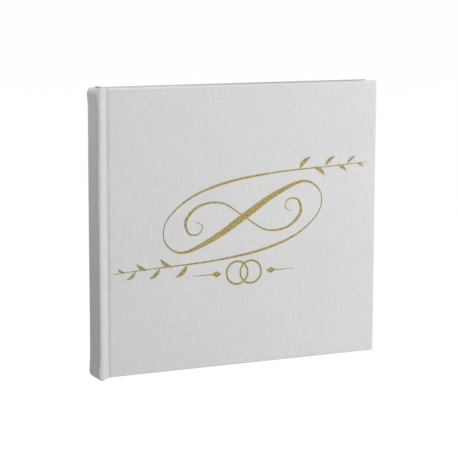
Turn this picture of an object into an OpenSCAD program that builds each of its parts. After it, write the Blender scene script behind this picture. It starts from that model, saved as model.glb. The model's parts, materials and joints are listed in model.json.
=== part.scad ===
// Case-bound guest book, standing on its tail edge.
// +X runs from the spine to the fore edge, -Y is the front cover, +Z is the head.
// The origin is at the middle of the footprint. Millimetres.

/* [Case] */
// Width of the closed book, spine face to fore edge
book_w = 228; // [180:1:300]
// Height of the covers, tail to head
book_h = 210; // [150:1:300]
// Thickness of each cover board
board_t = 2.5; // [1.8:0.1:3.2]
// Thickness of the board in the spine
spine_board_t = 2.3; // [1.8:0.1:2.4]
// Thickness of the book cloth
cloth_t = 0.4; // [0.3:0.05:0.5]
// Width of cloth turned in over the board edges
turn_in = 15; // [10:1:20]

/* [Joint] */
// Distance from the spine face to the crease that the cover turns on
crease_x = 1.2; // [1.1:0.1:1.6]
// Distance from the spine face to the cover board
board_x = 8.9; // [8:0.1:12]
// How far the spine ridge stands proud of the cover
ridge_rise = 1.25; // [0.8:0.05:1.6]
// Depth of the groove beside the cover board
groove_d = 0.55; // [0.3:0.05:0.8]
// Outer corner radius of the spine
spine_r = 1; // [0.8:0.05:1]
// Bevel on the outer edges of the spine board
spine_bevel = 1.9; // [1:0.1:1.9]
// How far the spine board stops short of the head and tail
spine_board_inset = 3; // [1:0.5:5]

/* [Text block] */
// How far the covers overhang the leaves
square_w = 3; // [2:0.5:5]
// Thickness of one sewn section
section_t = 1.38; // [1:0.02:2]
// Clearance between neighbouring sections
section_gap = 0.08; // [0.05:0.01:0.12]
// Thickness of an endpaper
endpaper_t = 0.2; // [0.12:0.02:0.3]
// Clearance between the flyleaf and the cover lining
page_gap = 0.1; // [0.08:0.01:0.2]

/* [Spine linings] */
// Distance from the spine face to the section folds
fold_x = 4.5; // [4.5:0.1:5]
// Thickness of the gauze
mull_t = 0.2; // [0.1:0.05:0.25]
// Width of gauze glued down on each cover
mull_flange_w = 25; // [15:1:35]
// Radius of the sewing thread
thread_r = 0.22; // [0.15:0.01:0.24]
// Number of sewing stations along the spine
stations = 6; // [4:1:9]
// Radius of the bead of the head and tail bands
band_r = 1.05; // [0.8:0.05:1.1]

/* [Ornament] */
// Height of the flourish's middle above the tail
flourish_z = 112; // [100:1:130]
// Scale of the flourish
flourish_scale = 1; // [0.6:0.05:1]
// Height of the linked rings above the tail
rings_z = 70; // [50:1:70]
// Radius of each ring, at the middle of its band
ring_r = 8.6; // [6:0.2:9]
// Width of the band of each ring
ring_t = 1.5; // [0.8:0.1:2]
// Thickness of the foil
foil_t = 0.05; // [0.03:0.01:0.1]

/* [Hidden] */
SECTIONS_PER_SIDE = 4;
$fn = 64;

cloth_colour = "#e9e8e6";
board_colour = "#8d8a84";
paper_colour = "#f7f4ec";
endpaper_colour = "#f1eee6";
thread_colour = "#f4f1e8";
mull_colour = "#e6e0cf";
kraft_colour = "#b08d62";
foil_colour = "#c9a556";

// Depths, measured outwards from the middle plane of the book
section_pitch = section_t + section_gap;
flyleaf_y = SECTIONS_PER_SIDE * section_pitch + section_gap / 2;
lining_y = flyleaf_y + endpaper_t + page_gap;
board_y = lining_y + endpaper_t;
face_y = board_y + board_t + cloth_t;
ridge_y = face_y + ridge_rise;
groove_y = face_y - groove_d;

// Positions along the width, measured from the spine face
groove_x = board_x - 1;
ridge_flat_x = crease_x + 0.6;
spine_inner_x = cloth_t + spine_board_t;
spine_board_y = ridge_y - cloth_t - 0.3;
cap_y = spine_board_y - 0.4;
leaf_w = book_w - square_w - fold_x;
leaf_h = book_h - 2 * square_w;
lining_inset = 4;
thread_x = fold_x - thread_r - 0.05;
mull_x = thread_x - thread_r - 0.05 - mull_t;
liner_t = 0.2;
liner_x = mull_x - liner_t - 0.03;

// Everything is drawn with X measured from the spine face
module placed() {
    translate([-book_w / 2, 0, 0]) children();
}

module front_side() {
    mirror([0, 1, 0]) children();
}

// The cover board, with its edges pressed thinner where the cloth turns in
module cover_board() {
    edge = cloth_t;
    difference() {
        translate([board_x, board_y, edge])
            cube([book_w - board_x - edge, board_t, book_h - 2 * edge]);
        for (z = [0, book_h - turn_in])
            translate([0, 0, z]) cube([book_w, board_y + cloth_t, turn_in]);
        translate([book_w - turn_in, 0, 0]) cube([turn_in, board_y + cloth_t, book_h]);
        translate([board_x - 1, board_y - 1, turn_in])
            cube([mull_flange_w + 1, 1 + mull_t, book_h - 2 * turn_in]);
    }
}

// Cloth over the joint between the spine and the board
module joint_strip() {
    linear_extrude(book_h) polygon([
        [crease_x, ridge_y],
        [ridge_flat_x, ridge_y],
        [groove_x, groove_y],
        [board_x, face_y],
        [board_x, face_y - cloth_t],
        [groove_x, groove_y - cloth_t],
        [ridge_flat_x, ridge_y - cloth_t],
        [crease_x, ridge_y - cloth_t]
    ]);
}

// The same cloth folded back inside the joint at head and tail
module joint_turn_ins() {
    start_x = spine_inner_x + 1;
    slope = (ridge_y - groove_y) / (groove_x - ridge_flat_x);
    start_y = ridge_y - slope * (start_x - ridge_flat_x) - cloth_t;
    for (z = [0, book_h - turn_in])
        translate([0, 0, z]) linear_extrude(turn_in) polygon([
            [start_x, start_y],
            [groove_x, groove_y - cloth_t],
            [board_x, face_y - cloth_t],
            [board_x, groove_y - 2 * cloth_t],
            [groove_x, groove_y - 2 * cloth_t],
            [start_x, start_y - cloth_t]
        ]);
}

module cover_cloth() {
    joint_strip();
    joint_turn_ins();
    difference() {
        translate([board_x, board_y, 0]) cube([book_w - board_x, face_y - board_y, book_h]);
        cover_board();
        translate([board_x - 1, 0, turn_in])
            cube([mull_flange_w + 1, board_y + mull_t, book_h - 2 * turn_in]);
    }
}

module mull_flange() {
    translate([board_x, board_y, turn_in])
        cube([mull_flange_w, mull_t, book_h - 2 * turn_in]);
}

module pastedown() {
    translate([board_x, lining_y, lining_inset])
        cube([book_w - board_x - lining_inset, endpaper_t, book_h - 2 * lining_inset]);
}

module flyleaf() {
    translate([fold_x, flyleaf_y, square_w]) cube([leaf_w, endpaper_t, leaf_h]);
}

// One folded and sewn section, numbered outwards from the middle of the book
module section(place) {
    fold_r = section_t / 2;
    translate([fold_x, (place - 0.5) * section_pitch, square_w]) linear_extrude(leaf_h) {
        translate([fold_r, 0]) circle(fold_r);
        translate([fold_r, -fold_r]) square([leaf_w - fold_r, section_t]);
    }
}

// Spine board, with its outer corners taken off and edges that follow the joint
module spine_board_outline() {
    inner_bevel = 0.45;
    polygon([
        [cloth_t, -spine_board_y + spine_bevel],
        [cloth_t, spine_board_y - spine_bevel],
        [cloth_t + spine_bevel, spine_board_y],
        [spine_inner_x, spine_board_y - inner_bevel],
        [spine_inner_x, -spine_board_y + inner_bevel],
        [cloth_t + spine_bevel, -spine_board_y]
    ]);
}

module spine_board() {
    color(board_colour) placed() translate([0, 0, spine_board_inset])
        linear_extrude(book_h - 2 * spine_board_inset) spine_board_outline();
}

module spine_cloth_outline() {
    intersection() {
        union() {
            for (side = [-1, 1]) translate([spine_r, side * (ridge_y - spine_r)]) circle(spine_r);
            translate([0, -ridge_y + spine_r]) square([crease_x, 2 * (ridge_y - spine_r)]);
            translate([spine_r, -ridge_y]) square([crease_x - spine_r, 2 * ridge_y]);
        }
        translate([0, -ridge_y]) square([crease_x, 2 * ridge_y]);
    }
}

module spine_cloth() {
    color(cloth_colour) placed() difference() {
        union() {
            linear_extrude(book_h) spine_cloth_outline();
            for (z = [0, book_h - cloth_t]) translate([crease_x - 0.2, -cap_y, z])
                cube([spine_inner_x + cloth_t - crease_x + 0.2, 2 * cap_y, cloth_t]);
            for (z = [0, book_h - turn_in])
                translate([spine_inner_x, -cap_y, z]) cube([cloth_t, 2 * cap_y, turn_in]);
        }
        translate([0, 0, cloth_t]) linear_extrude(book_h - 2 * cloth_t) spine_board_outline();
    }
}

// Thread linking the folds at each sewing station
module sewing_thread() {
    end_margin = 12;
    span = leaf_h - 2 * end_margin;
    length = 2 * SECTIONS_PER_SIDE * section_pitch - section_t;
    color(thread_colour) placed() for (i = [0:stations - 1])
        translate([thread_x, -length / 2, square_w + end_margin + i * span / (stations - 1)])
            rotate([-90, 0, 0]) cylinder(r = thread_r, h = length);
}

module mull() {
    color(mull_colour) placed() translate([mull_x, -lining_y + page_gap, turn_in])
        cube([mull_t, 2 * (lining_y - page_gap), book_h - 2 * turn_in]);
}

module spine_liner() {
    margin = 9;
    color(kraft_colour) placed() translate([liner_x, -flyleaf_y, margin])
        cube([liner_t, 2 * flyleaf_y, book_h - 2 * margin]);
}

// A woven bead on a tape that is glued to the spine of the block, built at the head
module end_band() {
    bead_x = mull_x + band_r - 0.1;
    bead_z = book_h - square_w + band_r + 0.1;
    tape_z = book_h - turn_in + 1;
    translate([bead_x, -flyleaf_y, bead_z]) rotate([-90, 0, 0])
        cylinder(r = band_r, h = 2 * flyleaf_y);
    translate([mull_x, -flyleaf_y, tape_z]) cube([mull_t, 2 * flyleaf_y, bead_z - tape_z]);
}

module headband() {
    color(kraft_colour) placed() end_band();
}

module tailband() {
    color(kraft_colour) placed() translate([0, 0, book_h]) mirror([0, 0, 1]) end_band();
}

// Half of the flourish, from the tip of the lower tail to the middle: place and width of the stroke
flourish_half = [
    [-104, -36, 0.5], [-70, -34, 0.8], [-30, -32, 1.3], [10, -27, 1.9], [42, -17, 1.5],
    [62, -1, 0.9], [64, 15, 1.0], [50, 24, 1.8], [25, 15, 4.0], [0, 0, 5.2]
];
// A curl that grows from the middle of the flourish into one of its loops
curl = [
    [0, 0, 1.0], [18, -11, 1.3], [36, -10, 1.8], [47, 0, 2.3], [45, 10, 1.6],
    [37, 11, 1.0], [34, 5, 0.8], [39, 2, 0.5]
];
// Leaves along one tail: place of the stalk, angle and length
tail_leaves = [
    [46, 33.4, 42, 13], [58, 34.2, -35, 12], [68, 34.6, 40, 11],
    [78, 35, -32, 10], [87, 35.4, 38, 9], [95, 35.7, -30, 7]
];

function half_turned(line) = [for (i = [len(line) - 1:-1:0]) [-line[i].x, -line[i].y, line[i].z]];

// A smooth curve through the points of a line
function beyond(a, b) = 2 * a - b;
function smooth_step(p0, p1, p2, p3, t) =
    0.5 * (2 * p1 + (p2 - p0) * t + (2 * p0 - 5 * p1 + 4 * p2 - p3) * t * t
        + (3 * p1 - p0 - 3 * p2 + p3) * t * t * t);
function smooth_line(line, steps) =
    let (
        last = len(line) - 1,
        full = concat([beyond(line[0], line[1])], line, [beyond(line[last], line[last - 1])])
    )
    concat([for (i = [0:last - 1], n = [0:steps - 1])
        smooth_step(full[i], full[i + 1], full[i + 2], full[i + 3], n / steps)], [line[last]]);

// Points beside a line, half a stroke width to one side
function beside(line, way) = [for (i = [0:len(line) - 1])
    let (
        step = line[min(i + 1, len(line) - 1)] - line[max(i - 1, 0)],
        size = norm([step.x, step.y])
    )
    [line[i].x, line[i].y] + way * line[i].z / 2 / size * [-step.y, step.x]];

module pen_line(line) {
    right = beside(line, -1);
    polygon(concat(beside(line, 1), [for (i = [len(right) - 1:-1:0]) right[i]]));
}

module small_leaf(leaf) {
    steps = 8;
    leaf_l = leaf[3];
    pen_line([for (i = [0:steps])
        let (
            t = i / steps,
            bow = 0.1 * leaf_l * sin(180 * t),
            width = 0.25 + 0.28 * leaf_l * sin(180 * t) * (1 - 0.35 * t)
        )
        [
            leaf[0] + t * leaf_l * cos(leaf[2]) - bow * sin(leaf[2]),
            leaf[1] + t * leaf_l * sin(leaf[2]) + bow * cos(leaf[2]),
            width
        ]]);
}

module flourish() {
    line = concat(flourish_half, [for (i = [1:len(flourish_half) - 1]) half_turned(flourish_half)[i]]);
    pen_line(smooth_line(line, 8));
    for (turn = [0, 180]) rotate(turn) {
        pen_line(smooth_line(curl, 6));
        for (leaf = tail_leaves) small_leaf(leaf);
    }
}

module linked_rings() {
    for (side = [-1, 1]) translate([side * ring_r * 0.65, 0]) difference() {
        circle(ring_r + ring_t / 2);
        circle(ring_r - ring_t / 2);
    }
}

// A lozenge on a thin rule, on each side of the rings
module side_rules() {
    for (turn = [0, 180]) rotate(turn) {
        polygon([[18.5, 0], [22.5, 2.4], [26.5, 0], [22.5, -2.4]]);
        polygon([[25, 0.45], [42, 0.15], [42, -0.15], [25, -0.45]]);
    }
}

// Gold foil pressed on the front cover
module foil_ornament() {
    middle_x = 116;
    color(foil_colour) placed() translate([middle_x, -face_y, 0]) rotate([90, 0, 0]) {
        translate([0, flourish_z, 0]) linear_extrude(foil_t) scale(flourish_scale) flourish();
        translate([0, rings_z, 0]) linear_extrude(foil_t) {
            linked_rings();
            side_rules();
        }
    }
}

module front_board() { color(board_colour) placed() front_side() cover_board(); }
module back_board() { color(board_colour) placed() cover_board(); }
module front_cloth() { color(cloth_colour) placed() front_side() cover_cloth(); }
module back_cloth() { color(cloth_colour) placed() cover_cloth(); }
module front_mull_flange() { color(mull_colour) placed() front_side() mull_flange(); }
module back_mull_flange() { color(mull_colour) placed() mull_flange(); }
module front_pastedown() { color(endpaper_colour) placed() front_side() pastedown(); }
module back_pastedown() { color(endpaper_colour) placed() pastedown(); }
module front_flyleaf() { color(endpaper_colour) placed() front_side() flyleaf(); }
module back_flyleaf() { color(endpaper_colour) placed() flyleaf(); }
module front_section(place) { color(paper_colour) placed() front_side() section(place); }
module back_section(place) { color(paper_colour) placed() section(place); }

front_board();
back_board();
spine_board();
front_cloth();
back_cloth();
spine_cloth();
front_mull_flange();
back_mull_flange();
front_pastedown();
back_pastedown();
front_flyleaf();
back_flyleaf();
front_section(4);  // section_1
front_section(3);  // section_2
front_section(2);  // section_3
front_section(1);  // section_4
back_section(1);  // section_5
back_section(2);  // section_6
back_section(3);  // section_7
back_section(4);  // section_8
sewing_thread();
mull();
spine_liner();
headband();
tailband();
foil_ornament();
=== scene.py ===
"""A case-bound guest book in pale linen, standing on its tail edge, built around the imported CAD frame.

Lengths are in metres. +X runs from the spine to the fore edge, -Y is the front cover and +Z is the head.
"""

import json
import math

import bmesh
import bpy
from mathutils import Matrix, Vector


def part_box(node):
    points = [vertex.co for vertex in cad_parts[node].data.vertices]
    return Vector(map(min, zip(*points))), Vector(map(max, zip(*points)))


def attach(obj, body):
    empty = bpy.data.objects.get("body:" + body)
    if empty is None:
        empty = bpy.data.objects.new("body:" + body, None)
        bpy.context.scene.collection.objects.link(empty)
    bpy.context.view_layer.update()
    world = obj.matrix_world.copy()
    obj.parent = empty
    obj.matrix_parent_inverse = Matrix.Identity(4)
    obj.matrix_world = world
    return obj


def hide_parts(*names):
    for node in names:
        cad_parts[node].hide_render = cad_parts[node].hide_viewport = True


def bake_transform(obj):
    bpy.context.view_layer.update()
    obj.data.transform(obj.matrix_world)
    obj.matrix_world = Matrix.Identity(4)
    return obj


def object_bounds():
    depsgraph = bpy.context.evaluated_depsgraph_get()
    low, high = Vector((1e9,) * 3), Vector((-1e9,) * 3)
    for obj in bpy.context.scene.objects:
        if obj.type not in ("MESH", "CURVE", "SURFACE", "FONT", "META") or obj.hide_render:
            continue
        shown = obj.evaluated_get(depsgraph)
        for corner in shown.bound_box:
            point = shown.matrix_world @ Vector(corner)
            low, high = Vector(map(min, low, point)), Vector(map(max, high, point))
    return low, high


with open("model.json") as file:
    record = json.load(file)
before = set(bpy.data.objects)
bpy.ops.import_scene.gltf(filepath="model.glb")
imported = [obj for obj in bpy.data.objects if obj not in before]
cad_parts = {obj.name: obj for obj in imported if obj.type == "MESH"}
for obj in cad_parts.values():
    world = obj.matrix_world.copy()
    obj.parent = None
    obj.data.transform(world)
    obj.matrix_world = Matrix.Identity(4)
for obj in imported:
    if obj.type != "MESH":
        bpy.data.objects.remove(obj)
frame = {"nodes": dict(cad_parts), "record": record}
cad_low, cad_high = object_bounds()

MM = 0.001
SIDES = {"front": -1, "back": 1}

# ---------------------------------------------------------------- sizes read from the frame

cloth_low, cloth_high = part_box("back_cloth")
board_low, board_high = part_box("back_board")

HEIGHT = cad_high.z
SPINE_X = cad_low.x
FORE_X = cad_high.x
CREASE_X = cloth_low.x                  # where a cover turns
BOARD_X = board_low.x                   # spine side of the cover boards
RIDGE_Y = cloth_high.y                  # outside of the ridge beside the spine
CLOTH_T = board_low.z
FACE_Y = board_high.y + CLOTH_T         # outside of a cover
INNER_Y = board_low.y                   # inside of a cover board
FOLD_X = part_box("back_flyleaf")[0].x    # folds of the sections
CAP_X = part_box("spine_cloth")[1].x      # cloth turned in at the ends of the spine
TURN_IN = 15 * MM                       # width of cloth turned in over the board edges


# ---------------------------------------------------------------- small helpers

def spread(first, last, count):
    """count + 1 evenly spaced values from first to last."""
    return [first + (last - first) * i / count for i in range(count + 1)]


def lerp(a, b, t):
    return a + (b - a) * t


def smooth(t):
    """Rises gently from 0 to 1 while t goes from 0 to 1."""
    t = min(1.0, max(0.0, t))
    return t * t * (3 - 2 * t)


def through(points, x):
    """A smooth curve through (x, y) points, level at both ends."""
    if x <= points[0][0]:
        return points[0][1]
    if x >= points[-1][0]:
        return points[-1][1]
    i = next(n for n in range(1, len(points)) if x <= points[n][0])
    (x0, y0), (x1, y1) = points[i - 1], points[i]
    slopes = []
    for n in (i - 1, i):
        if 0 < n < len(points) - 1:
            slopes.append((points[n + 1][1] - points[n - 1][1]) / (points[n + 1][0] - points[n - 1][0]))
        else:
            slopes.append(0.0)
    t = (x - x0) / (x1 - x0)
    width = x1 - x0
    return (
        (2 * t**3 - 3 * t**2 + 1) * y0
        + (t**3 - 2 * t**2 + t) * width * slopes[0]
        + (3 * t**2 - 2 * t**3) * y1
        + (t**3 - t**2) * width * slopes[1]
    )


class Builder:
    """Gathers named points and faces with their places on the flat cloth or paper, then makes the mesh."""

    def __init__(self):
        self.points = []
        self.index = {}
        self.faces = []
        self.flat = []

    def point(self, key, place):
        """Adds a point. A key that is already there keeps its place."""
        if key not in self.index:
            self.index[key] = len(self.points)
            self.points.append(tuple(place))

    def face(self, keys, flat=None):
        """Adds a face by the keys of its corners. flat holds their places on the sheet."""
        self.faces.append([self.index[k] for k in keys])
        self.flat.append(flat or [(0.0, 0.0)] * len(keys))

    def make(self, name, auto_smooth=50):
        """The finished object. Edges sharper than auto_smooth degrees stay sharp, and 0 leaves none."""
        mesh = bpy.data.meshes.new(name)
        mesh.from_pydata(self.points, [], self.faces)
        uv = mesh.uv_layers.new(name="flat")
        corners = [c for face in self.flat for c in face]
        uv.data.foreach_set("uv", [value for corner in corners for value in corner])
        mesh.validate()
        obj = bpy.data.objects.new(name, mesh)
        bpy.context.scene.collection.objects.link(obj)
        outward(obj)
        mesh.shade_smooth()
        if auto_smooth:
            mesh.set_sharp_from_angle(angle=math.radians(auto_smooth))
        return obj


def outward(obj):
    """Turns every face of a closed mesh to the outside."""
    work = bmesh.new()
    work.from_mesh(obj.data)
    bmesh.ops.recalc_face_normals(work, faces=work.faces)
    work.to_mesh(obj.data)
    work.free()


# ---------------------------------------------------------------- materials

class Nodes:
    """A few short ways to make and join shader nodes."""

    def __init__(self, name):
        self.material = bpy.data.materials.new(name)
        self.material.use_nodes = True
        self.tree = self.material.node_tree
        self.shader = self.tree.nodes["Principled BSDF"]

    def node(self, kind, **settings):
        made = self.tree.nodes.new(kind)
        for key, value in settings.items():
            if key in made.inputs:
                made.inputs[key].default_value = value
            else:
                setattr(made, key, value)
        return made

    def join(self, source, target):
        self.tree.links.new(source, target)

    def math(self, operation, a, b=None):
        made = self.node("ShaderNodeMath", operation=operation)
        for socket, value in zip(made.inputs, (a, b)):
            if value is None:
                continue
            if isinstance(value, (int, float)):
                socket.default_value = value
            else:
                self.join(value, socket)
        return made.outputs[0]

    def flat(self, scale=(1.0, 1.0, 1.0)):
        """Coordinates on the flat sheet, in millimetres, times scale."""
        uv = self.node("ShaderNodeUVMap", uv_map="flat")
        mapping = self.node("ShaderNodeMapping")
        mapping.inputs["Scale"].default_value = [s / MM for s in scale]
        self.join(uv.outputs["UV"], mapping.inputs["Vector"])
        return mapping.outputs["Vector"]

    def place(self, scale=(1.0, 1.0, 1.0)):
        """Coordinates in the object's frame, in millimetres, times scale."""
        coordinates = self.node("ShaderNodeTexCoord")
        mapping = self.node("ShaderNodeMapping")
        mapping.inputs["Scale"].default_value = [s / MM for s in scale]
        self.join(coordinates.outputs["Object"], mapping.inputs["Vector"])
        return mapping.outputs["Vector"]

    def noise(self, vector, scale, detail, roughness=0.5):
        made = self.node("ShaderNodeTexNoise", Scale=scale, Detail=detail, Roughness=roughness)
        self.join(vector, made.inputs["Vector"])
        return made.outputs["Fac"]

    def ramp(self, value, stops):
        """Colour from (place, colour) stops."""
        made = self.node("ShaderNodeValToRGB")
        elements = made.color_ramp.elements
        while len(elements) < len(stops):
            elements.new(0.5)
        for element, (at, colour) in zip(elements, stops):
            element.position = at
            element.color = (*colour, 1.0)
        self.join(value, made.inputs["Fac"])
        return made.outputs["Color"]

    def bump(self, height, distance, strength, under=None):
        made = self.node("ShaderNodeBump", Strength=strength, Distance=distance)
        self.join(height, made.inputs["Height"])
        if under is not None:
            self.join(under, made.inputs["Normal"])
        return made.outputs["Normal"]

    def finish(self, colour, roughness, normal=None, **constants):
        """Sets or joins the shader's sockets. An underscore in a name stands for a space."""
        if isinstance(colour, tuple):
            self.shader.inputs["Base Color"].default_value = (*colour, 1.0)
        else:
            self.join(colour, self.shader.inputs["Base Color"])
        if isinstance(roughness, (int, float)):
            self.shader.inputs["Roughness"].default_value = roughness
        else:
            self.join(roughness, self.shader.inputs["Roughness"])
        if normal is not None:
            self.join(normal, self.shader.inputs["Normal"])
        for key, value in constants.items():
            self.shader.inputs[key.replace("_", " ")].default_value = value
        return self.material


THREAD_PITCH = 0.55     # millimetres between threads of the book cloth
THREAD_RELIEF = 0.05 * MM
THREAD_WANDER = 0.8     # millimetres that a thread strays from its straight line
WANDER_RATE = 0.12      # how often it strays, per millimetre
SLUB_ACROSS = 1.1       # how often thick and thin threads change, per millimetre across the threads
SLUB_ALONG = 0.08       # and per millimetre along them
SLUB_RELIEF = 0.12 * MM
CLOTH_DARK = (0.346, 0.346, 0.346)
CLOTH_PALE = (0.434, 0.434, 0.434)
CLOUD_RATE = 0.02       # slow changes of tone over the cloth, per millimetre

FOIL_SPECKLE = 0.75     # specks of worn foil per millimetre
FOIL_RELIEF = 0.06 * MM
# the darkest foil: real worn specks, and painted shade in the hollows of the weave
FOIL_WORN_AND_SHADED = (0.030, 0.022, 0.006)
FOIL_DULL = (0.140, 0.104, 0.024)
FOIL_BRIGHT = (0.40, 0.305, 0.085)

PAPER_FIBRE = 1.5       # fibres per millimetre
PAPER_SHADE = 0.95      # the darker fibres, as a share of the paper's colour
PAPER_RELIEF = 0.02 * MM

BOARD_FIBRE = 0.8       # fibres of the grey board per millimetre
BOARD_RELIEF = 0.08 * MM
BOARD_DARK = (0.24, 0.23, 0.21)
BOARD_PALE = (0.42, 0.40, 0.37)


def weave(n):
    """Height of a plain weave with straying threads, 0 to 1."""
    split = n.node("ShaderNodeSeparateXYZ")
    n.join(n.flat(), split.inputs[0])
    stray = n.noise(n.flat((WANDER_RATE, WANDER_RATE, 1)), 1.0, 1.0)
    stray = n.math("MULTIPLY", stray, THREAD_WANDER)
    turn = math.pi / THREAD_PITCH
    warp = n.math("SINE", n.math("MULTIPLY", n.math("ADD", split.outputs[0], stray), turn))
    weft = n.math("SINE", n.math("MULTIPLY", n.math("ADD", split.outputs[1], stray), turn))
    warp_on_top = n.math("GREATER_THAN", n.math("MULTIPLY", warp, weft), 0.0)
    weft_on_top = n.math("SUBTRACT", 1.0, warp_on_top)
    warp_height = n.math("MULTIPLY", warp_on_top, n.math("ABSOLUTE", warp))
    weft_height = n.math("MULTIPLY", weft_on_top, n.math("ABSOLUTE", weft))
    return n.math("ADD", warp_height, weft_height)


def slubs(n):
    """Thick and thin threads both ways, 0 to 1."""
    warp = n.noise(n.flat((SLUB_ACROSS, SLUB_ALONG, 1)), 1.0, 3.0, 0.6)
    weft = n.noise(n.flat((SLUB_ALONG, SLUB_ACROSS, 1)), 1.0, 3.0, 0.6)
    return n.math("ADD", n.math("MULTIPLY", warp, 0.6), n.math("MULTIPLY", weft, 0.4))


def book_cloth():
    """Pale linen with a plain weave, with painted shade in the hollows between its threads."""
    n = Nodes("book_cloth")
    height, thick = weave(n), slubs(n)
    cloud = n.noise(n.place((CLOUD_RATE, CLOUD_RATE, CLOUD_RATE)), 1.0, 2.0)
    # the weave's height darkens the hollows between threads: painted shade; the thick and thin threads and
    # the slow cloud are the cloth's own tone
    tone = n.math("ADD", n.math("MULTIPLY", height, 0.12), thick)
    tone = n.math("ADD", tone, n.math("MULTIPLY", cloud, 0.15))
    colour = n.ramp(tone, [(0.40, CLOTH_DARK), (0.90, CLOTH_PALE)])
    threads = n.bump(height, THREAD_RELIEF, 0.55)
    normal = n.bump(thick, SLUB_RELIEF, 0.6, threads)
    return n.finish(colour, 0.88, normal, Sheen_Weight=0.12, Sheen_Roughness=0.5)


def gold_foil():
    """Foil pressed into the weave, with darker specks of wear, and painted shade that darkens it in the
    hollows between threads.
    """
    n = Nodes("gold_foil")
    height = weave(n)
    speckle = n.noise(n.flat(), FOIL_SPECKLE, 4.0, 0.8)
    # the weave's height lightens the foil on the thread tops and darkens it in the hollows: painted shade;
    # the speckle is real wear
    wear_and_hollow_shade = n.math("ADD", n.math("MULTIPLY", height, 0.3), n.math("MULTIPLY", speckle, 0.9))
    colour = n.ramp(wear_and_hollow_shade, [(0.55, FOIL_WORN_AND_SHADED), (0.65, FOIL_DULL), (0.78, FOIL_BRIGHT)])
    rough = n.math("ADD", 0.42, n.math("MULTIPLY", speckle, 0.25))
    return n.finish(colour, rough, n.bump(height, FOIL_RELIEF, 0.7), Metallic=0.4)


def paper(name, colour):
    """Anything made of short fibres: paper, gauze, thread and silk."""
    n = Nodes(name)
    fibre = n.noise(n.place((PAPER_FIBRE, PAPER_FIBRE, PAPER_FIBRE)), 1.0, 4.0, 0.6)
    tone = n.ramp(fibre, [(0.3, tuple(c * PAPER_SHADE for c in colour)), (0.7, colour)])
    return n.finish(tone, 0.75, n.bump(fibre, PAPER_RELIEF, 0.3))


def grey_board():
    n = Nodes("grey_board")
    fibre = n.noise(n.place((BOARD_FIBRE, BOARD_FIBRE, BOARD_FIBRE)), 1.0, 6.0, 0.65)
    tone = n.ramp(fibre, [(0.3, BOARD_DARK), (0.7, BOARD_PALE)])
    return n.finish(tone, 0.9, n.bump(fibre, BOARD_RELIEF, 0.5))


CLOTH = book_cloth()
FOIL = gold_foil()
ENDPAPER = paper("endpaper", (0.86, 0.84, 0.79))
PAGES = paper("page_paper", (0.88, 0.86, 0.80))
KRAFT = paper("kraft_paper", (0.50, 0.35, 0.20))
GAUZE = paper("gauze", (0.78, 0.74, 0.62))
THREAD = paper("thread", (0.84, 0.82, 0.74))
SILK = paper("band_silk", (0.82, 0.79, 0.72))
BOARD = grey_board()


def wear(obj, material):
    """Gives an object one material and no other."""
    obj.data.materials.clear()
    obj.data.materials.append(material)


# ---------------------------------------------------------------- book cloth over the covers

EDGE_R = 1.3 * MM       # rounding of the covered board edges
FOLD_T = 2 * CLOTH_T    # two layers of cloth over the joint
FOLD_EDGE_R = 0.46 * FOLD_T         # rounding of the folded cloth at head and tail
BOARD_AND_CLOTH = FACE_Y - INNER_Y + 0.05 * MM   # the turned-in cloth stands a little proud of the board
WIDENING_X = BOARD_X - 1.5 * MM     # where the folded cloth of the joint starts to widen into the cover
WIDENING = 1.6 * MM                 # length over which its thickness grows
EDGE_WIDENING = 4 * MM              # and over which its edge radius grows
ROUND_STEPS = 3         # facets in an eighth of a circle
FINE_X = BOARD_X + 2.4 * MM         # the mesh is finer from the crease to here
NEAR_EDGES = [1.6 * MM, 3 * MM, 6 * MM, 10 * MM, TURN_IN]   # rows of the mesh, from head and tail
THINNEST = 0.92         # largest inset of the inner skin, as a share of the edge radius

SPINE_R = 1.9 * MM      # upright corners of the spine, which run on over the crease
HEAD_R = 2.9 * MM       # the same corners at the head, where the cloth is looser
LOOSE_FROM = 0.6        # share of the height from which the corners grow
JOINT_START = SPINE_X + 2 * MM      # from here to the board, the cloth sags and tucks less and less
HANG = 1.5 * MM         # how far the cloth of spine and joint hangs below the covers
HANG_REACH = 12 * MM
PUCKER = 0.6 * MM       # how far the cloth of the joint rises at the head
PUCKER_X = BOARD_X - 2 * MM
PUCKER_WIDTH = 3.0 * MM
PUCKER_REACH = 8 * MM
BACK_TUCK = 1.3 * MM    # how far the back corner of the head is drawn down
TUCK_DEPTH = 5 * MM     # its reach from the back ridge
TUCK_REACH = 9 * MM     # and down from the head


def corner_radius(z):
    """Radius of the upright corners of the spine."""
    return lerp(SPINE_R, HEAD_R, smooth((z / HEIGHT - LOOSE_FROM) / (1 - LOOSE_FROM)))


def corner_depth(x, r):
    """Depth of the rounded upright corner of the spine."""
    return RIDGE_Y - r + math.sqrt(max(0.0, r**2 - (SPINE_X + r - x) ** 2))


def settle(p):
    """A point of the cloth between spine and board, hung low at the tail, puckered and tucked at the head."""
    joint = 1 - smooth((p.x - JOINT_START) / (BOARD_X - JOINT_START))
    below_head = HEIGHT - p.z
    hang = HANG * joint * (1 - smooth(p.z / HANG_REACH))
    away = (p.x - PUCKER_X) / PUCKER_WIDTH
    rise = PUCKER * math.exp(-(away**2)) * smooth(1 - below_head / PUCKER_REACH)
    at_back = smooth(1 - (RIDGE_Y - p.y) / TUCK_DEPTH) * joint
    tuck = BACK_TUCK * at_back * smooth(1 - below_head / TUCK_REACH)
    return Vector((p.x, p.y, p.z - hang + rise - tuck))


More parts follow.
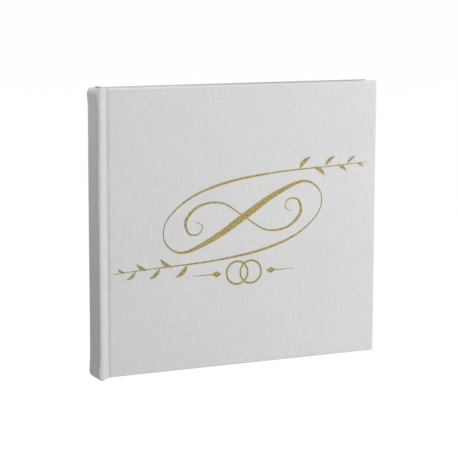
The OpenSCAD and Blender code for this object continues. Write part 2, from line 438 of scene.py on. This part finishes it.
# Outside of the cloth from the ridge, through the groove, on to the board: X and depth
JOINT_PROFILE = [
    (SPINE_X + 2.6 * MM, RIDGE_Y),
    (SPINE_X + 3.6 * MM, RIDGE_Y - 0.20 * MM),
    (SPINE_X + 5.0 * MM, RIDGE_Y - 0.85 * MM),
    (BOARD_X - 2.6 * MM, FACE_Y - 0.22 * MM),
    (BOARD_X - 1.7 * MM, FACE_Y - 0.52 * MM),
    (BOARD_X - 1.0 * MM, FACE_Y - 0.55 * MM),
    (BOARD_X - 0.3 * MM, FACE_Y - 0.30 * MM),
    (BOARD_X + 0.5 * MM, FACE_Y - 0.07 * MM),
    (BOARD_X + 1.8 * MM, FACE_Y),
]


def face_depth(x, z):
    """Distance from the middle plane to the outside of the cloth."""
    depth = through(JOINT_PROFILE, x)
    r = corner_radius(z)
    if x < SPINE_X + r:
        return min(depth, corner_depth(x, r))
    return depth


def cover_thickness(x):
    """Thickness of the covered board, or of the folded cloth over the joint."""
    return lerp(FOLD_T, BOARD_AND_CLOTH, smooth((x - WIDENING_X) / WIDENING))


def edge_radius(x):
    """Radius of the head and tail edges, small over the joint and full a little way on to the board."""
    return lerp(FOLD_EDGE_R, EDGE_R, smooth((x - WIDENING_X) / EDGE_WIDENING))


def round_shares():
    """Places across a rounded edge as shares of its radius, from the flat to the side."""
    return [1 - math.tan(math.pi / 4 * i / ROUND_STEPS) for i in range(ROUND_STEPS + 1)]


def cover_lines():
    """Lattice lines of a cover: X places, then Z and thickness lines that follow the edge radius."""
    flat_x = spread(CREASE_X, FINE_X, 32)
    flat_x += spread(FINE_X, FORE_X - TURN_IN, 28)[1:]
    flat_x += spread(FORE_X - TURN_IN, FORE_X - EDGE_R, 4)[1:]
    xs = [("at", x) for x in flat_x] + [("end", s) for s in round_shares()[1:]]
    low = [("low", s) for s in reversed(round_shares())]
    high = [("high", s) for s in round_shares()]
    middle = spread(TURN_IN, HEIGHT - TURN_IN, 22)[1:-1]
    flats = NEAR_EDGES + middle + [HEIGHT - z for z in reversed(NEAR_EDGES)]
    zs = low + [("at", z) for z in flats] + high
    outer = [("outer", s) for s in reversed(round_shares())]
    thick = outer + [("inner", s) for s in round_shares()]
    return xs, zs, thick


def cover_point(x_line, z_line, t_line, inset):
    """A point on the skin of a covered board. inset is how far under the outside it lies."""
    kind, value = x_line
    x = FORE_X - value * EDGE_R if kind == "end" else value
    r = edge_radius(x)
    kind, value = z_line
    z = {"low": value * r, "high": HEIGHT - value * r, "at": value}[kind]
    outer, thick = face_depth(x, z), cover_thickness(x)
    kind, value = t_line
    y = outer - value * r if kind == "outer" else outer - thick + value * r
    core = Vector((
        min(x, FORE_X - r),
        min(max(y, outer - thick + r), outer - r),
        min(max(z, r), HEIGHT - r),
    ))
    away = Vector((x, y, z)) - core
    away.normalize()
    return core + away * (r - min(inset, THINNEST * r))


def cover_faces(xs, zs, thick):
    """Quads of the cloth as lists of lattice keys, each with its places on the flat cloth."""
    nx, nz, nt = len(xs) - 1, len(zs) - 1, len(thick) - 1
    near = 0.001 * MM

    def along_x(i):
        kind, value = xs[i]
        return FORE_X - value * EDGE_R if kind == "end" else value

    def along_z(k):
        kind, value = zs[k]
        return {"low": value * EDGE_R, "high": HEIGHT - value * EDGE_R, "at": value}[kind]

    def across(j):
        kind, value = thick[j]
        return value * EDGE_R if kind == "outer" else BOARD_AND_CLOTH - value * EDGE_R

    quads = []
    for i in range(nx):
        for k in range(nz):
            corners = [(i, k), (i + 1, k), (i + 1, k + 1), (i, k + 1)]
            quads.append(([(a, 0, b) for a, b in corners], [(along_x(a), along_z(b)) for a, b in corners]))
            low_x, low_z, high_z = along_x(i), along_z(k), along_z(k + 1)
            if low_z >= HEIGHT - TURN_IN - near:
                flat = [(along_x(a), 2 * HEIGHT + BOARD_AND_CLOTH - along_z(b)) for a, b in corners]
            elif high_z <= TURN_IN + near:
                flat = [(along_x(a), -BOARD_AND_CLOTH - along_z(b)) for a, b in corners]
            elif low_x >= FORE_X - TURN_IN - near:
                flat = [(2 * FORE_X + BOARD_AND_CLOTH - along_x(a), along_z(b)) for a, b in corners]
            else:
                continue    # nothing is turned in over the middle of the board
            quads.append(([(a, nt, b) for a, b in corners], flat))
        for j in range(nt):
            corners = [(i, j), (i + 1, j), (i + 1, j + 1), (i, j + 1)]
            quads.append(([(a, b, nz) for a, b in corners],
                          [(along_x(a), HEIGHT + across(b)) for a, b in corners]))
            quads.append(([(a, b, 0) for a, b in corners],
                          [(along_x(a), -across(b)) for a, b in corners]))
    for j in range(nt):
        for k in range(nz):
            corners = [(j, k), (j + 1, k), (j + 1, k + 1), (j, k + 1)]
            quads.append(([(nx, a, b) for a, b in corners],
                          [(FORE_X + across(a), along_z(b)) for a, b in corners]))
    return quads


def close_sheet(builder, quads):
    """Adds both skins of a sheet and joins them round its open edges."""
    uses = {}
    for keys, flat in quads:
        builder.face([("out", *k) for k in keys], flat)
        builder.face([("in", *k) for k in reversed(keys)], list(reversed(flat)))
        for n, key in enumerate(keys):
            edge = (key, keys[(n + 1) % len(keys)])
            other = (edge[1], edge[0])
            if other in uses:
                del uses[other]
            else:
                uses[edge] = (flat[n], flat[(n + 1) % len(keys)])
    open_edges = {}
    for (a, b), flat in uses.items():
        open_edges.setdefault(frozenset((a, b)), []).append((a, b, flat))
    for found in open_edges.values():
        if len(found) == 1:
            a, b, (flat_a, flat_b) = found[0]
            builder.face([("out", *a), ("out", *b), ("in", *b), ("in", *a)], [flat_a, flat_b, flat_b, flat_a])


def cover_cloth(side):
    """The cloth round one board, with its turn-ins, and over the joint to the crease."""
    sign = SIDES[side]
    xs, zs, thick = cover_lines()
    quads = cover_faces(xs, zs, thick)
    builder = Builder()
    for keys, _ in quads:
        for i, j, k in keys:
            for skin, inset in (("out", 0.0), ("in", CLOTH_T)):
                p = cover_point(xs[i], zs[k], thick[j], inset)
                builder.point((skin, i, j, k), settle(Vector((p.x, sign * p.y, p.z))))
    close_sheet(builder, quads)
    obj = builder.make(side + "_cover_cloth")
    wear(obj, CLOTH)
    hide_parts(side + "_cloth")
    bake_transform(obj)


# ---------------------------------------------------------------- book cloth over the spine

CAP_IN = 2.2 * MM       # how far the rounded head and tail of the spine reach in
CAP_UP = 4.2 * MM       # and how far they reach up and down
CAP_ROUND = 1.25        # 1 for an elliptical cap, more for one that is nearer to a bevel
CAP_THINNEST = 0.9      # largest inset of the inner skin, as a share of the cap
LIP_R = 0.5 * MM        # inner edge of the cap
LIP_THINNEST = 0.8
CAP_Y = RIDGE_Y - FOLD_T - 0.15 * MM    # half the width of the cloth turned in
FLARE = 0.9 * MM        # the doubled cloth spreads at head and tail
FLARE_REACH = 9 * MM
NEAR_CAPS = [4.5 * MM, 7 * MM, 10 * MM]    # extra rows of the mesh, from either end


def spine_columns():
    """Columns across the spine cloth from the front crease to the back one: (where, share)."""
    turns = spread(0.0, 1.0, 8)
    face = [("face", t) for t in spread(-1.0, 1.0, 10)[1:-1]]
    return [("front", t) for t in turns] + face + [("back", t) for t in reversed(turns)]


def spine_outline(column, z):
    """Place and outward direction of a column at height z, as (x, y, outward x, outward y)."""
    where, share = column
    r = corner_radius(z)
    if where == "face":
        return SPINE_X, share * (RIDGE_Y - r), -1, 0
    centre_x = SPINE_X + r
    angle = lerp(math.asin((centre_x - CREASE_X) / r), math.pi / 2, share)
    nx, ny = -math.sin(angle), math.cos(angle)
    x, y = centre_x + r * nx, RIDGE_Y - r + r * ny
    return (x, -y, nx, -ny) if where == "front" else (x, y, nx, ny)


def spine_rows():
    """Places up the cloth of the spine: (where, share or height)."""
    arc = spread(0.0, math.pi / 2, 7)
    inside = spread(TURN_IN, LIP_R, 4)[:-1]
    tail = [("inside", z) for z in inside]
    tail += [("inside_arc_low", a) for a in arc]
    tail += [("arc_low", a) for a in reversed(arc)]
    head = [("arc_high", a) for a in arc]
    head += [("inside_arc_high", a) for a in reversed(arc)]
    head += [("inside", HEIGHT - z) for z in reversed(inside)]
    heights = NEAR_CAPS + spread(TURN_IN, HEIGHT - TURN_IN, 18)
    heights += [HEIGHT - z for z in reversed(NEAR_CAPS)]
    return tail + [("face", z) for z in heights] + head


def flare(z):
    """How far the spine stands out at height z."""
    end = min(z, HEIGHT - z)
    return FLARE * math.exp(-(end / FLARE_REACH) ** 2)


def cap_share(nx, r):
    """How much of the full cap a column has: none at the crease, all of it on the spine face."""
    at_crease = (SPINE_X + r - CREASE_X) / r
    return smooth((abs(nx) - at_crease) / (1 - at_crease))


def spine_point(column, row, inset):
    """A point on the skin of the spine cloth. inset is how far under the outside it lies."""
    kind, value = row
    low = kind.endswith("low")
    if kind in ("face", "inside"):
        level = value
    else:
        level = 0.0 if low else HEIGHT
    x, y, nx, ny = spine_outline(column, level)
    inner_y = min(max(y, -CAP_Y), CAP_Y)
    share = cap_share(nx, corner_radius(level))
    cap_up = lerp(edge_radius(CREASE_X), CAP_UP, share)
    cap_in = lerp(edge_radius(CREASE_X), CAP_IN, share)
    if kind == "face":
        z = min(max(value, cap_up), HEIGHT - cap_up)
        out = share * flare(z) - inset
        return settle(Vector((x + out * nx, y + out * ny, z)))
    if kind == "inside":
        return settle(Vector((CAP_X - inset, inner_y, value)))
    if kind.startswith("arc"):
        power = lerp(1.0, CAP_ROUND, share)
        rise = (cap_up - min(inset, CAP_THINNEST * cap_up)) * math.sin(value) ** power
        z = cap_up - rise if low else HEIGHT - cap_up + rise
        reach = (cap_in - min(inset, CAP_THINNEST * cap_in)) * math.cos(value) ** power
        out = share * flare(z) - cap_in + reach
        return settle(Vector((x + out * nx, y + out * ny, z)))
    lip = LIP_R - min(inset, LIP_THINNEST * LIP_R)
    rise = lip * math.sin(value)
    z = LIP_R - rise if low else HEIGHT - LIP_R + rise
    return settle(Vector((CAP_X - LIP_R + lip * math.cos(value), inner_y, z)))


def spine_cloth():
    """The cloth over the spine from crease to crease, turned in at head and tail."""
    columns, rows = spine_columns(), spine_rows()
    builder = Builder()
    for i, column in enumerate(columns):
        for k, row in enumerate(rows):
            for skin, inset in (("out", 0.0), ("in", CLOTH_T)):
                builder.point((skin, i, k), spine_point(column, row, inset))
    across = [0.0]
    outline = [spine_outline(column, HEIGHT / 2) for column in columns]
    for a, b in zip(outline, outline[1:]):
        across.append(across[-1] + math.hypot(b[0] - a[0], b[1] - a[1]))
    middle = len(columns) // 2
    up = [0.0]
    for a, b in zip(rows, rows[1:]):
        up.append(up[-1] + (spine_point(columns[middle], a, 0) - spine_point(columns[middle], b, 0)).length)
    quads = []
    for i in range(len(columns) - 1):
        for k in range(len(rows) - 1):
            corners = [(i, k), (i + 1, k), (i + 1, k + 1), (i, k + 1)]
            quads.append((corners, [(CREASE_X - across[a], up[b] - TURN_IN) for a, b in corners]))
    close_sheet(builder, quads)
    obj = builder.make("spine_cover_cloth")
    wear(obj, CLOTH)
    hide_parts("spine_cloth")
    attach(obj, "spine")


# ---------------------------------------------------------------- endpapers and leaves

HINGE_X = BOARD_X + 0.3 * MM    # where the paste of the endpaper begins
BEND_REACH = 28 * MM            # how far from the fold a leaf still bends


def ribbon(builder, tag, path, thickness, z_low, z_high):
    """A sheet that stands on its edge: path is its middle line in plan, drawn from one end to the other."""

    def quad(ends, skins, levels, flat):
        """A face from four corners: the end, skin and level of each."""
        builder.face([(tag, skin, level, n) for n, skin, level in zip(ends, skins, levels)], flat)

    lengths = [0.0]
    for a, b in zip(path, path[1:]):
        lengths.append(lengths[-1] + math.hypot(b[0] - a[0], b[1] - a[1]))
    for n, (x, y) in enumerate(path):
        before, after = path[max(n - 1, 0)], path[min(n + 1, len(path) - 1)]
        dx, dy = after[0] - before[0], after[1] - before[1]
        size = math.hypot(dx, dy)
        nx, ny = -dy / size * thickness / 2, dx / size * thickness / 2
        for skin, way in (("left", 1), ("right", -1)):
            for level, z in (("low", z_low), ("high", z_high)):
                builder.point((tag, skin, level, n), (x + way * nx, y + way * ny, z))
    both = ("left", "left", "right", "right")
    for n in range(len(path) - 1):
        u0, u1 = lengths[n], lengths[n + 1]
        ends = (n, n + 1, n + 1, n)
        for skin in ("left", "right"):
            flat = [(u0, z_low), (u1, z_low), (u1, z_high), (u0, z_high)]
            quad(ends, (skin,) * 4, ("low", "low", "high", "high"), flat)
        for level, z in (("low", z_low), ("high", z_high)):
            flat = [(u0, z), (u1, z), (u1, z + thickness), (u0, z + thickness)]
            quad(ends, both, (level,) * 4, flat)
    for n in (0, len(path) - 1):
        u = lengths[n]
        flat = [(u, z_low), (u, z_high), (u + thickness, z_high), (u + thickness, z_low)]
        quad((n,) * 4, both, ("low", "high", "high", "low"), flat)


def leaf_stations(end_x):
    """X places along a leaf, closer together where it bends."""
    near = spread(FOLD_X, FOLD_X + BEND_REACH, 22)
    return near + spread(FOLD_X + BEND_REACH, end_x, 6)[1:]


def pastedown(side):
    """The endpaper glued to the board, from the fold beside the sections."""
    low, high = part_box(side + "_pastedown")
    middle = (low.y + high.y) / 2
    xs = spread(FOLD_X, HINGE_X, 12) + spread(HINGE_X, high.x, 8)[1:]
    builder = Builder()
    ribbon(builder, "sheet", [(x, middle) for x in xs], high.y - low.y, low.z, high.z)
    obj = builder.make(side + "_pastedown_sheet")
    wear(obj, ENDPAPER)
    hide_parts(side + "_pastedown")
    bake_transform(obj)


def flyleaf(side):
    """The endpaper that turns freely."""
    low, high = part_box(side + "_flyleaf")
    middle = (low.y + high.y) / 2
    builder = Builder()
    path = [(x, middle) for x in leaf_stations(high.x)]
    ribbon(builder, "sheet", path, high.y - low.y, low.z, high.z)
    obj = builder.make(side + "_flyleaf_sheet")
    wear(obj, ENDPAPER)
    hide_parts(side + "_flyleaf")
    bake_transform(obj)


SHEETS_IN_SECTION = 4
PAPER_T = 0.15 * MM
TRIM_ERROR = 0.12 * MM          # the sheets are not all trimmed to the same size
FOLD_GAP = 0.2 * MM             # from the round of a fold to the first station of the leaf


def section(number):
    """Folded sheets one inside the other, each a leaf on both sides of the fold.

    The sines only scatter the trimmed edges, in the same way each time.
    """
    node = "section_%d" % number
    low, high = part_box(node)
    middle = (low.y + high.y) / 2
    pitch = (high.y - low.y) / (2 * SHEETS_IN_SECTION)
    builder = Builder()
    for sheet in range(SHEETS_IN_SECTION):
        half = (SHEETS_IN_SECTION - sheet - 0.5) * pitch
        fold = low.x + PAPER_T / 2 + sheet * pitch + half
        uneven = TRIM_ERROR * math.sin(7.3 * number + 2.9 * sheet)
        end_x = high.x - TRIM_ERROR + uneven
        straight = [x for x in leaf_stations(end_x) if x > fold + FOLD_GAP]
        bend = [(fold - half * math.cos(a), half * math.sin(a)) for a in spread(-math.pi / 2, math.pi / 2, 8)]
        path = [(x, -half) for x in reversed(straight)] + bend + [(x, half) for x in straight]
        trim = 0.5 * TRIM_ERROR * math.cos(5.1 * number + 3.7 * sheet)
        path = [(x, middle + y) for x, y in path]
        ribbon(builder, sheet, path, PAPER_T, low.z + TRIM_ERROR + trim, high.z - TRIM_ERROR - trim)
    obj = builder.make("section_%d_sheets" % number)
    wear(obj, PAGES)
    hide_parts(node)
    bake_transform(obj)


# ---------------------------------------------------------------- head and tail bands

BAND_WRAP = 0.75 * MM           # width of one wrap of silk round the bead
BAND_RELIEF = 0.16              # depth between two wraps, as a share of the radius
BAND_ROUND = 0.8                # length of the rounded end of the bead, as a share of the radius
BAND_TIP = 0.25                 # radius of its very end, as a share of the radius
BAND_AROUND = 20                # facets round the bead
BAND_ALONG = 140                # and along it
FACET = MM / 3                  # width of a facet on the flat silk
TAPE_T = 0.2 * MM


def end_band(node):
    """A bead wrapped in silk on a tape that goes down behind the folds of the sections."""
    low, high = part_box(node)
    mull_low, mull_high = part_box("mull")
    at_head = node == "headband"
    tape_x = (mull_low.x + mull_high.x) / 2
    radius = (high.x - tape_x) / 2
    centre_x = high.x - radius
    centre_z = high.z - radius if at_head else low.z + radius
    builder = Builder()
    ys = spread(low.y, high.y, BAND_ALONG)
    for i, y in enumerate(ys):
        end = min(y - low.y, high.y - y)
        round_off = math.sqrt(max(0.0, 1 - (1 - min(1.0, end / (BAND_ROUND * radius))) ** 2))
        for j in range(BAND_AROUND):
            angle = 2 * math.pi * j / BAND_AROUND
            wrap = abs(math.sin(math.pi * y / BAND_WRAP + angle / 2))
            r = radius * lerp(BAND_TIP, 1, round_off) * (1 - BAND_RELIEF * (1 - wrap))
            builder.point((i, j), (centre_x + r * math.cos(angle), y, centre_z + r * math.sin(angle)))
    for i in range(BAND_ALONG):
        for j in range(BAND_AROUND):
            k = (j + 1) % BAND_AROUND
            v0, v1 = j * FACET, (j + 1) * FACET
            flat = [(ys[i], v0), (ys[i + 1], v0), (ys[i + 1], v1), (ys[i], v1)]
            builder.face([(i, j), (i + 1, j), (i + 1, k), (i, k)], flat)
    for i in (0, BAND_ALONG):
        builder.face([(i, j) for j in range(BAND_AROUND)])
    tape = [(tape_x, y) for y in spread(low.y, high.y, 6)]
    z_low, z_high = (low.z, centre_z) if at_head else (centre_z, high.z)
    ribbon(builder, "tape", tape, TAPE_T, z_low, z_high)
    obj = builder.make(node + "_silk")
    wear(obj, SILK)
    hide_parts(node)
    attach(obj, "spine")


# ---------------------------------------------------------------- gold flourish

ORNAMENT_X = 2          # middle of the flourish, in millimetres
FLOURISH_Z = 112
RINGS_Z = 70
RING_R = 8.6            # each of the two linked rings
RING_T = 1.5
RING_OFFSET = 0.65      # from the middle to each ring's centre, as a share of the radius
FOIL_T = 0.05 * MM
LAYER_STEP = 0.12       # how much higher a crossing stroke lies, as a share of the foil's thickness
LEAF_BOW = 0.10         # bend of a leaf, as a share of its length
LEAF_WIDTH = 0.28       # its width, as a share of its length
LEAF_TAPER = 0.35       # how much slimmer it is towards the tip
LEAF_STALK = 0.25       # width of its stalk

# The flourish in millimetres from its middle, as in the CAD model: x, z and width of the stroke.
# Half of it, from the tip of the lower tail to the middle:
FLOURISH_HALF = [
    (-104, -36, 0.5), (-70, -34, 0.8), (-30, -32, 1.3), (10, -27, 1.9), (42, -17, 1.5),
    (62, -1, 0.9), (64, 15, 1.0), (50, 24, 1.8), (25, 15, 4.0), (0, 0, 5.2),
]
# A curl that grows from the middle into one of the loops:
CURL = [
    (0, 0, 1.0), (18, -11, 1.3), (36, -10, 1.8), (47, 0, 2.3), (45, 10, 1.6),
    (37, 11, 1.0), (34, 5, 0.8), (39, 2, 0.5),
]
# Leaves along one tail: x and z of the stalk, angle in degrees and length:
TAIL_LEAVES = [
    (46, 33.4, 42, 13), (58, 34.2, -35, 12), (68, 34.6, 40, 11),
    (78, 35, -32, 10), (87, 35.4, 38, 9), (95, 35.7, -30, 7),
]
# The marks beside the rings: distance from the middle and width:
LOZENGE = [(18.5, 0.1), (22.5, 4.8), (26.5, 0.1)]
RULE = [(25, 0.9), (42, 0.3)]


def catmull(points, steps):
    """Points of a smooth curve through the given ones. Each may carry further values, such as a width."""

    def between(a, b, c, d, t):
        slope = c - a
        bend = 2 * a - 5 * b + 4 * c - d
        twist = 3 * b - a - 3 * c + d
        return 0.5 * (2 * b + slope * t + bend * t**2 + twist * t**3)

    before = [2 * a - b for a, b in zip(points[0], points[1])]
    after = [2 * a - b for a, b in zip(points[-1], points[-2])]
    knots = [before, *points, after]
    curve = []
    for four in zip(knots, knots[1:], knots[2:], knots[3:]):
        for n in range(steps):
            curve.append(tuple(between(*values, n / steps) for values in zip(*four)))
    return curve + [tuple(points[-1])]


def plate(builder, tag, left, right, layer, closed=False):
    """A thin foil plate between two edges given as (x, z) points in millimetres."""
    top = -FACE_Y - FOIL_T * (1 + LAYER_STEP * layer)
    for n, pair in enumerate(zip(left, right)):
        for edge, (x, z) in zip(("left", "right"), pair):
            builder.point((tag, edge, "top", n), (x * MM, top, z * MM))
            builder.point((tag, edge, "base", n), (x * MM, -FACE_Y + FOIL_T, z * MM))

    def quad(edges, levels, stations):
        """A face from four corners: the edge, level and station of each."""
        keys = [(tag, *corner) for corner in zip(edges, levels, stations)]
        places = [builder.points[builder.index[key]] for key in keys]
        builder.face(keys, [(x, z) for x, y, z in places])

    last = len(left) - 1
    for n in range(last + 1 if closed else last):
        m = (n + 1) % (last + 1)
        for level in ("top", "base"):
            quad(("left", "left", "right", "right"), (level,) * 4, (n, m, m, n))
        for edge in ("left", "right"):
            quad((edge,) * 4, ("top", "top", "base", "base"), (n, m, m, n))
    if not closed:
        for n in (0, last):
            quad(("left", "right", "right", "left"), ("top", "top", "base", "base"), (n,) * 4)


def pen_line(builder, tag, line, layer=0):
    """A stroke along (x, z, width) points."""
    left, right = [], []
    for n, (x, z, width) in enumerate(line):
        before, after = line[max(n - 1, 0)], line[min(n + 1, len(line) - 1)]
        dx, dz = after[0] - before[0], after[1] - before[1]
        size = math.hypot(dx, dz)
        nx, nz = -dz / size * width / 2, dx / size * width / 2
        left.append((x + nx, z + nz))
        right.append((x - nx, z - nz))
    plate(builder, tag, left, right, layer)


def leaf(builder, tag, way, stalk, layer=0):
    """A small leaf on a tail. way is 1 on the upper tail and -1 on the lower one."""
    x, z, angle, length = stalk
    angle = math.radians(angle)
    line = []
    for t in spread(0.0, 1.0, 14):
        bow = LEAF_BOW * length * math.sin(math.pi * t)
        line.append((
            ORNAMENT_X + way * (x + t * length * math.cos(angle) - bow * math.sin(angle)),
            FLOURISH_Z + way * (z + t * length * math.sin(angle) + bow * math.cos(angle)),
            LEAF_STALK + LEAF_WIDTH * length * math.sin(math.pi * t) * (1 - LEAF_TAPER * t),
        ))
    pen_line(builder, tag, line, layer)


def ring(builder, tag, x, z, layer=0):
    """One of the linked rings, round x, z."""

    def circle(radius):
        return [(x + radius * math.cos(a), z + radius * math.sin(a)) for a in turns]

    turns = spread(0, 2 * math.pi, 96)[:-1]
    plate(builder, tag, circle(RING_R + RING_T / 2), circle(RING_R - RING_T / 2), layer, closed=True)


def foil_ornament():
    """The flourish with its curls and leaves, and the linked rings under it."""
    builder = Builder()
    half = FLOURISH_HALF[:-1]
    whole = half + [FLOURISH_HALF[-1]] + [(-x, -z, w) for x, z, w in reversed(half)]
    line = [(ORNAMENT_X + x, FLOURISH_Z + z, w) for x, z, w in catmull(whole, 14)]
    pen_line(builder, "flourish", line)
    for way in (1, -1):
        curl = [(ORNAMENT_X + way * x, FLOURISH_Z + way * z, w) for x, z, w in catmull(CURL, 12)]
        pen_line(builder, ("curl", way), curl, 1 + 0.5 * way)
        for n, stalk in enumerate(TAIL_LEAVES):
            leaf(builder, ("leaf", way, n), way, stalk, 1)
        ring_x = ORNAMENT_X + way * RING_OFFSET * RING_R
        ring(builder, ("ring", way), ring_x, RINGS_Z, 0.5 + 0.5 * way)
        pen_line(builder, ("lozenge", way), [(ORNAMENT_X + way * x, RINGS_Z, w) for x, w in LOZENGE], 1)
        pen_line(builder, ("rule", way), [(ORNAMENT_X + way * x, RINGS_Z, w) for x, w in RULE])
    obj = builder.make("gold_flourish", auto_smooth=20)
    wear(obj, FOIL)
    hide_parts("foil_ornament")
    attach(obj, "front_cover")


# ---------------------------------------------------------------- build

CAD_MATERIALS = {
    "book_cloth": CLOTH,
    "greyboard": BOARD,
    "endpaper": ENDPAPER,
    "page_paper": PAGES,
    "gauze": GAUZE,
    "kraft_paper": KRAFT,
    "thread": THREAD,
    "band_silk": SILK,
    "gold_foil": FOIL,
}
for entry in frame["record"]["subparts"]:
    wear(frame["nodes"][entry["node"]], CAD_MATERIALS[entry["material_slot"]])

for side in SIDES:
    cover_cloth(side)
    pastedown(side)
    flyleaf(side)
spine_cloth()
for number in range(1, 9):
    section(number)
for node in ("headband", "tailband"):
    end_band(node)
foil_ornament()


# ---------------------------------------------------------------- camera, floor and light

CAMERA_AT = Vector((-0.5378, -1.1327, 0.2930))
CAMERA_YAW = 25.15      # degrees to the right of straight on
CAMERA_PITCH = 8.69     # degrees down
CAMERA_ROLL = 0.10
CAMERA_LENS = 133.2
CAMERA_SENSOR = 36


def camera():
    data = bpy.data.cameras.new("camera")
    data.lens = CAMERA_LENS
    data.sensor_width = CAMERA_SENSOR
    data.clip_end = 100
    obj = bpy.data.objects.new("camera", data)
    bpy.context.scene.collection.objects.link(obj)
    yaw, pitch = math.radians(CAMERA_YAW), math.radians(CAMERA_PITCH)
    ahead = Vector((math.sin(yaw) * math.cos(pitch), math.cos(yaw) * math.cos(pitch), -math.sin(pitch)))
    turn = ahead.to_track_quat("-Z", "Y").to_matrix().to_4x4()
    roll = Matrix.Rotation(math.radians(CAMERA_ROLL), 4, "Z")
    obj.matrix_world = Matrix.Translation(CAMERA_AT) @ turn @ roll
    bpy.context.scene.camera = obj


def area_light(name, at, target, size, watts, colour=(1, 1, 1), spread_angle=180):
    data = bpy.data.lights.new(name, "AREA")
    data.spread = math.radians(spread_angle)
    data.shape = "DISK"
    data.size = size
    data.energy = watts
    data.color = colour
    obj = bpy.data.objects.new(name, data)
    bpy.context.scene.collection.objects.link(obj)
    obj.location = at
    obj.rotation_euler = (Vector(target) - Vector(at)).to_track_quat("-Z", "Y").to_euler()


FLOOR_REACH = 15.0      # metres from the middle to each side
FLOOR_Z = -HANG - 0.1 * MM          # just under the cloth that hangs lowest
FLOOR_GLOW = 0.99       # the floor is a lit table, so the book stands in a pale surround
FLOOR_SHADE = 0.04
WORLD_LIGHT = 0.03


def floor():
    builder = Builder()
    for n, (x, y) in enumerate([(-1, -1), (1, -1), (1, 1), (-1, 1)]):
        builder.point(n, (x * FLOOR_REACH, y * FLOOR_REACH, FLOOR_Z))
    builder.face([0, 1, 2, 3])
    obj = builder.make("floor", auto_smooth=0)
    n = Nodes("floor")
    n.shader.inputs["Emission Color"].default_value = (1, 1, 1, 1)
    n.shader.inputs["Emission Strength"].default_value = FLOOR_GLOW
    wear(obj, n.finish((FLOOR_SHADE,) * 3, 0.9, Specular_IOR_Level=0.0))


def surroundings():
    """A white backdrop that gives only a little light."""
    world = bpy.data.worlds.new("studio")
    bpy.context.scene.world = world
    world.use_nodes = True
    tree = world.node_tree
    lit = tree.nodes["Background"]
    lit.inputs["Color"].default_value = (1, 1, 1, 1)
    lit.inputs["Strength"].default_value = WORLD_LIGHT
    seen = tree.nodes.new("ShaderNodeBackground")
    seen.inputs["Color"].default_value = (1, 1, 1, 1)
    seen.inputs["Strength"].default_value = 1.0
    path = tree.nodes.new("ShaderNodeLightPath")
    mix = tree.nodes.new("ShaderNodeMixShader")
    tree.links.new(path.outputs["Is Camera Ray"], mix.inputs["Fac"])
    tree.links.new(lit.outputs[0], mix.inputs[1])
    tree.links.new(seen.outputs[0], mix.inputs[2])
    tree.links.new(mix.outputs[0], tree.nodes["World Output"].inputs["Surface"])


bpy.context.scene.view_settings.view_transform = "Standard"
camera()
floor()
surroundings()
area_light("key", at=(0.60, -1.00, 0.36), target=(0, 0, 0.1), size=0.6, watts=13.5)
area_light("low", at=(0.60, -0.90, 0.03), target=(0, 0, 0.06), size=0.4, watts=5.0)
area_light("overhead", at=(-0.15, -0.20, 2.0), target=(0, 0, 0.2), size=1.2, watts=37)
area_light("fill", at=(-0.24, 0.03, 0.42), target=(-0.11, 0.03, 0.20), size=0.12, watts=0.040,
           colour=(1, 0.99, 1), spread_angle=50)
area_light("bounce", at=(-0.45, 0.02, 0.03), target=(-0.11, 0.01, 0.06), size=0.2, watts=0.098,
           colour=(1, 0.22, 0.42))
